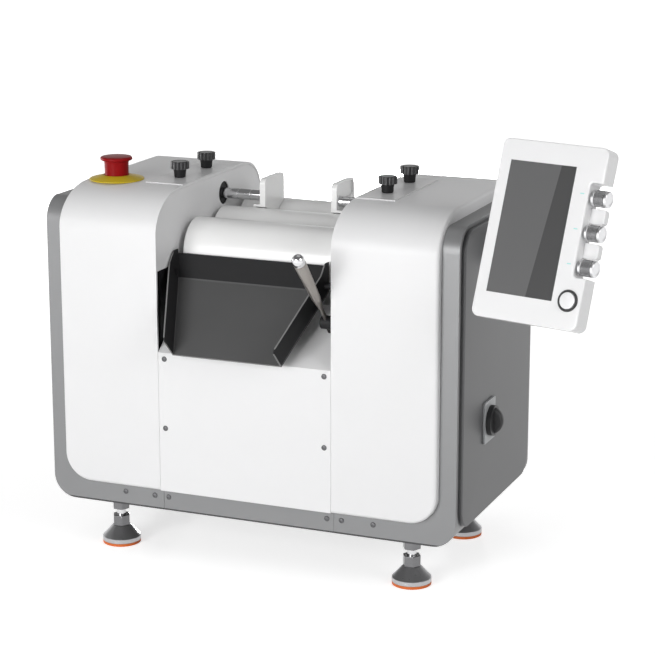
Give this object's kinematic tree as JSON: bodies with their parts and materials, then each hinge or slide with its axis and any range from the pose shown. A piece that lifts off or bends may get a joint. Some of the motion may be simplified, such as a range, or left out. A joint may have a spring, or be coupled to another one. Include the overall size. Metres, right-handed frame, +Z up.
{
  "type": "three-roll mill",
  "caption": "Bench three-roll mill with white rollers between column covers, a scraper tray with lever, an adjustable hopper, an emergency stop and a control panel on an arm.",
  "frame": {"origin": "on the bench, under the middle of the white column covers", "axes": "+X to the operator's right, +Y to the back, +Z up"},
  "size_m": [0.7441, 0.4057, 0.5743],
  "materials": {
    "dark_steel": "satin",
    "grey_paint": "satin",
    "panel_grey": "satin",
    "white_paint": "satin",
    "plate_grey": "satin",
    "screw_steel": "satin",
    "black_plastic": "matte",
    "black_steel": "matte",
    "bearing_steel": "satin",
    "motor_paint": "satin",
    "belt_rubber": "matte",
    "supply_aluminium": "satin",
    "stop_yellow": "satin",
    "switch_grey": "matte",
    "bright_chrome": "polished",
    "arm_paint": "satin",
    "roller_white": "satin",
    "shaft_steel": "satin",
    "pulley_aluminium": "satin",
    "tray_steel": "satin",
    "blade_steel": "satin",
    "lever_steel": "satin",
    "cheek_white": "satin",
    "knob_black": "matte",
    "stop_red": "gloss",
    "panel_white": "gloss",
    "screen_glass": "gloss",
    "dial_steel": "satin",
    "button_plastic": "gloss"
  },
  "bodies": {
    "frame": {"chassis_plate": "dark_steel", "left_side_cover": "grey_paint", "right_side_cover": "grey_paint", "side_panels": "panel_grey", "left_column_cover": "white_paint", "right_column_cover": "white_paint", "inner_covers": "white_paint", "service_plates": "plate_grey", "front_panel": "white_paint", "centre_skirt": "grey_paint", "rear_panel": "white_paint", "panel_screws": "screw_steel", "mains_inlet": "black_plastic", "bearing_plates": "black_steel", "clamp_rails": "dark_steel", "centre_bearings": "bearing_steel", "drive_motor": "motor_paint", "drive_belt": "belt_rubber", "gap_adjusters": "screw_steel", "power_supply": "supply_aluminium", "tray_pivots": "dark_steel", "stop_ring": "stop_yellow", "stop_base": "black_plastic", "switch_plate": "switch_grey", "foot_nuts": "bright_chrome", "arm_bracket": "arm_paint"},
    "centre_set": {"centre_roller": "roller_white", "centre_shaft": "shaft_steel"},
    "apron_slides": {"apron_carriages": "bearing_steel"},
    "apron_set": {"apron_roller": "roller_white", "apron_shaft": "shaft_steel"},
    "feed_slides": {"feed_carriages": "bearing_steel"},
    "feed_set": {"feed_roller": "roller_white", "feed_shaft": "shaft_steel"},
    "motor_set": {"motor_pulley": "pulley_aluminium"},
    "tray": {"scraper_tray": "tray_steel", "scraper_blade": "blade_steel"},
    "lever": {"lever_handle": "lever_steel"},
    "left_hopper": {"left_cheek": "cheek_white", "left_rod": "bright_chrome"},
    "right_hopper": {"right_cheek": "cheek_white", "right_rod": "bright_chrome"},
    "stop": {"stop_head": "stop_red"},
    "switch": {"switch_knob": "knob_black"},
    "arm": {"panel_arm": "arm_paint"},
    "control_panel": {"panel_back": "panel_white", "panel_front": "panel_white", "display": "screen_glass"},
    "start": {"start_button": "button_plastic"},
    "thumbscrew_left_front": {"thumbscrew_left_front": "knob_black"},
    "foot_left_front": {"foot_left_front": "bright_chrome"},
    "thumbscrew_left_rear": {"thumbscrew_left_rear": "knob_black"},
    "foot_left_rear": {"foot_left_rear": "bright_chrome"},
    "thumbscrew_right_front": {"thumbscrew_right_front": "knob_black"},
    "foot_right_front": {"foot_right_front": "bright_chrome"},
    "thumbscrew_right_rear": {"thumbscrew_right_rear": "knob_black"},
    "foot_right_rear": {"foot_right_rear": "bright_chrome"},
    "dial_1": {"dial_1": "dial_steel"},
    "dial_2": {"dial_2": "dial_steel"},
    "dial_3": {"dial_3": "dial_steel"}
  },
  "joints": [
    {"name": "centre_spin", "type": "hinge", "parent": "frame", "child": "centre_set", "pos_m": [0, 0.0204, 0.3937], "axis": [1, 0, 0], "continuous": true},
    {"name": "apron_gap", "type": "slide", "parent": "frame", "child": "apron_slides", "axis": [0, -1, 0], "range_m": [0, 0.0005]},
    {"name": "apron_spin", "type": "hinge", "parent": "apron_slides", "child": "apron_set", "pos_m": [0, -0.06, 0.3937], "axis": [1, 0, 0], "continuous": true},
    {"name": "feed_gap", "type": "slide", "parent": "frame", "child": "feed_slides", "axis": [0, 1, 0], "range_m": [0, 0.0005]},
    {"name": "feed_spin", "type": "hinge", "parent": "feed_slides", "child": "feed_set", "pos_m": [0, 0.1008, 0.3937], "axis": [1, 0, 0], "continuous": true},
    {"name": "motor_spin", "type": "hinge", "parent": "frame", "child": "motor_set", "pos_m": [0, 0.0204, 0.185], "axis": [1, 0, 0], "continuous": true},
    {"name": "lever_turn", "type": "hinge", "parent": "frame", "child": "lever", "pos_m": [0.103, -0.137, 0.333], "axis": [1, 0, 0], "range_deg": [0, 60]},
    {"name": "tray_tilt", "type": "hinge", "parent": "frame", "child": "tray", "pos_m": [-0.0125, -0.112, 0.372], "axis": [1, 0, 0], "range_deg": [0, 6]},
    {"name": "left_hopper_slide", "type": "slide", "parent": "frame", "child": "left_hopper", "axis": [-1, 0, 0], "range_m": [-0.015, 0.03]},
    {"name": "right_hopper_slide", "type": "slide", "parent": "frame", "child": "right_hopper", "axis": [1, 0, 0], "range_m": [-0.015, 0.03]},
    {"name": "thumbscrew_left_front_turn", "type": "hinge", "parent": "frame", "child": "thumbscrew_left_front", "pos_m": [-0.1421, -0.038, 0.477], "axis": [0, 0, 1], "range_deg": [-180, 180]},
    {"name": "thumbscrew_left_rear_turn", "type": "hinge", "parent": "frame", "child": "thumbscrew_left_rear", "pos_m": [-0.1421, 0.0404, 0.477], "axis": [0, 0, 1], "range_deg": [-180, 180]},
    {"name": "thumbscrew_right_front_turn", "type": "hinge", "parent": "frame", "child": "thumbscrew_right_front", "pos_m": [0.1421, -0.038, 0.477], "axis": [0, 0, 1], "range_deg": [-180, 180]},
    {"name": "thumbscrew_right_rear_turn", "type": "hinge", "parent": "frame", "child": "thumbscrew_right_rear", "pos_m": [0.1421, 0.0404, 0.477], "axis": [0, 0, 1], "range_deg": [-180, 180]},
    {"name": "stop_press", "type": "slide", "parent": "frame", "child": "stop", "axis": [0, 0, -1], "range_m": [0, 0.004]},
    {"name": "switch_turn", "type": "hinge", "parent": "frame", "child": "switch", "pos_m": [0.275, -0.0435, 0.204], "axis": [1, 0, 0], "range_deg": [0, 90]},
    {"name": "foot_left_front_level", "type": "slide", "parent": "frame", "child": "foot_left_front", "axis": [0, 0, -1], "range_m": [0, 0.012]},
    {"name": "foot_left_rear_level", "type": "slide", "parent": "frame", "child": "foot_left_rear", "axis": [0, 0, -1], "range_m": [0, 0.012]},
    {"name": "foot_right_front_level", "type": "slide", "parent": "frame", "child": "foot_right_front", "axis": [0, 0, -1], "range_m": [0, 0.012]},
    {"name": "foot_right_rear_level", "type": "slide", "parent": "frame", "child": "foot_right_rear", "axis": [0, 0, -1], "range_m": [0, 0.012]},
    {"name": "panel_swivel", "type": "hinge", "parent": "frame", "child": "arm", "pos_m": [0.313, -0.012, 0.44554], "axis": [0, 0, 1], "range_deg": [-8, 45]},
    {"name": "panel_tilt", "type": "hinge", "parent": "arm", "child": "control_panel", "pos_m": [0.38287, -0.15619, 0.44554], "axis": [0.9686, -0.2487, 0], "range_deg": [-12, 20]},
    {"name": "dial_1_turn", "type": "hinge", "parent": "control_panel", "child": "dial_1", "pos_m": [0.44111, -0.18471, 0.51848], "axis": [0.9686, -0.2487, 0], "range_deg": [-150, 150]},
    {"name": "dial_2_turn", "type": "hinge", "parent": "control_panel", "child": "dial_2", "pos_m": [0.43801, -0.19676, 0.4813], "axis": [0.9686, -0.2487, 0], "range_deg": [-150, 150]},
    {"name": "dial_3_turn", "type": "hinge", "parent": "control_panel", "child": "dial_3", "pos_m": [0.43492, -0.2088, 0.44413], "axis": [0.9686, -0.2487, 0], "range_deg": [-150, 150]},
    {"name": "start_press", "type": "slide", "parent": "control_panel", "child": "start", "axis": [0.2358, 0.9185, -0.3173], "range_m": [0, 0.002], "stiffness_N_per_m": 400, "springref_m": -0.001}
  ],
  "couplings": [
    {"joint": "apron_spin", "follows": "centre_spin", "ratio": -1.5},
    {"joint": "feed_spin", "follows": "centre_spin", "ratio": -0.66667},
    {"joint": "motor_spin", "follows": "centre_spin", "ratio": 2},
    {"joint": "tray_tilt", "follows": "lever_turn", "ratio": 0.1}
  ]
}
